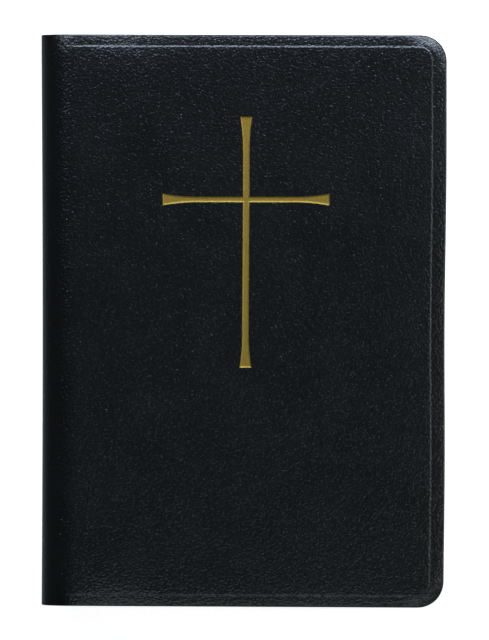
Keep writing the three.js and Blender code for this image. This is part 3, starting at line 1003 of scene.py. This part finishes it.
class BOOK_OT_endpapers(bpy.types.Operator):
    """Makes the pastedowns, the flyleaves and the title leaf"""
    bl_idname = "book.endpapers"
    bl_label = "Endpapers"

    def execute(self, context):
        for side in ("front", "back"):
            made = give(pastedown(side), "black_endpaper", f"{side}_pastedown")
            bend_with_cover(made)
        leaves = (
            ("front_flyleaf_sheet", "front_flyleaf", 0.14, 3.4, "endpaper", "black_endpaper"),
            ("title_leaf_sheet", "title_leaf", 0.08, 3.9, "page", "page_paper"),
        )
        for name, node, thickness, bend, look, slot in leaves:
            made = give(turning_leaf(name, node, thickness, bend, look), slot, node)
            bend_at_gutter(made)
        back = turning_leaf("back_flyleaf_sheet", "back_flyleaf", 0.14, 11, "endpaper")
        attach(give(back, "black_endpaper", "back_flyleaf"), "text_block")
        return {"FINISHED"}


class BOOK_OT_sections(bpy.types.Operator):
    """Stacks the leaves of the sewn sections"""
    bl_idname = "book.sections"
    bl_label = "Sewn Sections"

    def execute(self, context):
        tree = leaf_stack_tree()
        for seed, node in enumerate(SECTIONS, start=1):
            made = give(sewn_section(node, seed, tree), "page_paper", node)
            if node in MOVING_LEAVES:
                bend_at_gutter(made)
            else:
                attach(made, "text_block")
        return {"FINISHED"}


class BOOK_OT_bands(bpy.types.Operator):
    """Winds the head and tail bands"""
    bl_idname = "book.bands"
    bl_label = "Head and Tail Bands"

    def execute(self, context):
        tree = band_tree()
        for node in ("head_band", "tail_band"):
            made = give(wound_band(f"{node}_thread", node, tree), "band_silk", node)
            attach(made, "text_block")
        return {"FINISHED"}


class BOOK_OT_linings(bpy.types.Operator):
    """Finishes the boards and the linings, which keep the shape that the frame gives them"""
    bl_idname = "book.linings"
    bl_label = "Boards and Linings"

    def execute(self, context):
        looks = {"cover_card": "card", "lining_cloth": "cloth", "kraft_paper": "kraft"}
        slots = {part["node"]: part["material_slot"] for part in frame["record"]["subparts"]}
        for node, made in frame["nodes"].items():
            look = looks.get(slots[node])
            if look:
                made.data.materials.clear()
                made.data.materials.append(material(look))
        return {"FINISHED"}


class BOOK_OT_stage(bpy.types.Operator):
    """Sets the pale floor, the soft lights and the camera straight over the front cover"""
    bl_idname = "book.stage"
    bl_label = "Studio"

    def execute(self, context):
        stage = settings("stage")
        half = 3.0  # metres
        outline = [(-half, -half, 0), (half, -half, 0), (half, half, 0), (-half, half, 0)]
        floor = new_object("floor", outline, [(0, 1, 2, 3)], "floor")
        # The book's sides reflect the dim studio, as under a copy stand, and not the white floor.
        floor.visible_glossy = False
        world = bpy.data.worlds.new("studio")
        world.use_nodes = True
        self.surround(world.node_tree, stage)
        context.scene.world = world
        self.light("head_softbox", (0, 0.48, 0.41), (1.5, 0.2), stage.key, "d8e8ff")
        self.light("tail_softbox", (0, -0.5, 0.72), (0.9, 0.3), 2 * stage.fill, "eef8ff")
        self.light("fore_edge_softbox", (0.7, 0, 0.45), (0.3, 0.9), 3 * stage.fill, "ffffff")
        camera = bpy.data.cameras.new("camera")
        camera.sensor_fit = "VERTICAL"
        camera.sensor_height = 24
        camera.lens = 24 * stage.distance / stage.frame_height
        eye = linked("camera", camera)
        eye.location = (0.2 * MM, 0.3 * MM, THICKNESS + stage.distance)
        context.scene.camera = eye
        context.scene.view_settings.view_transform = "Standard"
        return {"FINISHED"}

    def surround(self, tree, stage):
        """A dim ceiling, and walls that grow brighter downwards except past the spine, where the studio is dark."""
        looking = add_node(tree, "ShaderNodeTexCoord").outputs["Generated"]
        split = add_node(tree, "ShaderNodeSeparateXYZ", None, {0: looking}).outputs
        wall = ranged(tree, split["X"], -0.7, 0.1, 0.8, 11.0)
        height = ranged(tree, split["Z"], 0.25, -0.1, 0.0, 1.0)
        level = first_output(tree, "ShaderNodeMix", {2: 1.0}, {0: height, 3: wall})
        plug(tree, tree.nodes["Background"], None, {
            "Color": tint(tree, height, linear("c4eefa"), linear("e8f2f6")),
            "Strength": maths(tree, "MULTIPLY", level, stage.surround),
        })

    def light(self, name, place, size, power, tone):
        lamp = bpy.data.lights.new(name, "AREA")
        lamp.shape = "RECTANGLE"
        lamp.size, lamp.size_y = size
        lamp.energy = power
        lamp.color = linear(tone)
        made = linked(name, lamp)
        made.location = place
        made.rotation_euler = (-Vector(place)).to_track_quat("-Z", "Y").to_euler()


class BOOK_PT_panel(bpy.types.Panel):
    """Lists the steps that build the book"""
    bl_label = "Prayer Book"
    bl_idname = "BOOK_PT_panel"
    bl_space_type = "VIEW_3D"
    bl_region_type = "UI"
    bl_category = "Prayer Book"

    def draw(self, context):
        for step in STEPS:
            self.layout.operator(step.bl_idname)
        for part in SETTINGS:
            group = settings(part)
            box = self.layout.box()
            for name in group.__annotations__:
                box.prop(group, name)


SETTINGS = {
    "finish": BookFinishSettings,
    "cover": BookCoverSettings,
    "page": BookPageSettings,
    "stage": BookStageSettings,
}
STEPS = (BOOK_OT_stage, BOOK_OT_leather, BOOK_OT_cross, BOOK_OT_endpapers, BOOK_OT_sections, BOOK_OT_bands,
         BOOK_OT_linings)
CLASSES = (*SETTINGS.values(), *STEPS, BOOK_PT_panel)


def register():
    for each in CLASSES:
        bpy.utils.register_class(each)
    for part, group in SETTINGS.items():
        setattr(bpy.types.Scene, "book_" + part, PointerProperty(type=group))


def unregister():
    for part in SETTINGS:
        delattr(bpy.types.Scene, "book_" + part)
    for each in reversed(CLASSES):
        bpy.utils.unregister_class(each)


def main():
    register()
    for step in STEPS:
        group, name = step.bl_idname.split(".")
        getattr(getattr(bpy.ops, group), name)()


if __name__ == "__main__":
    main()
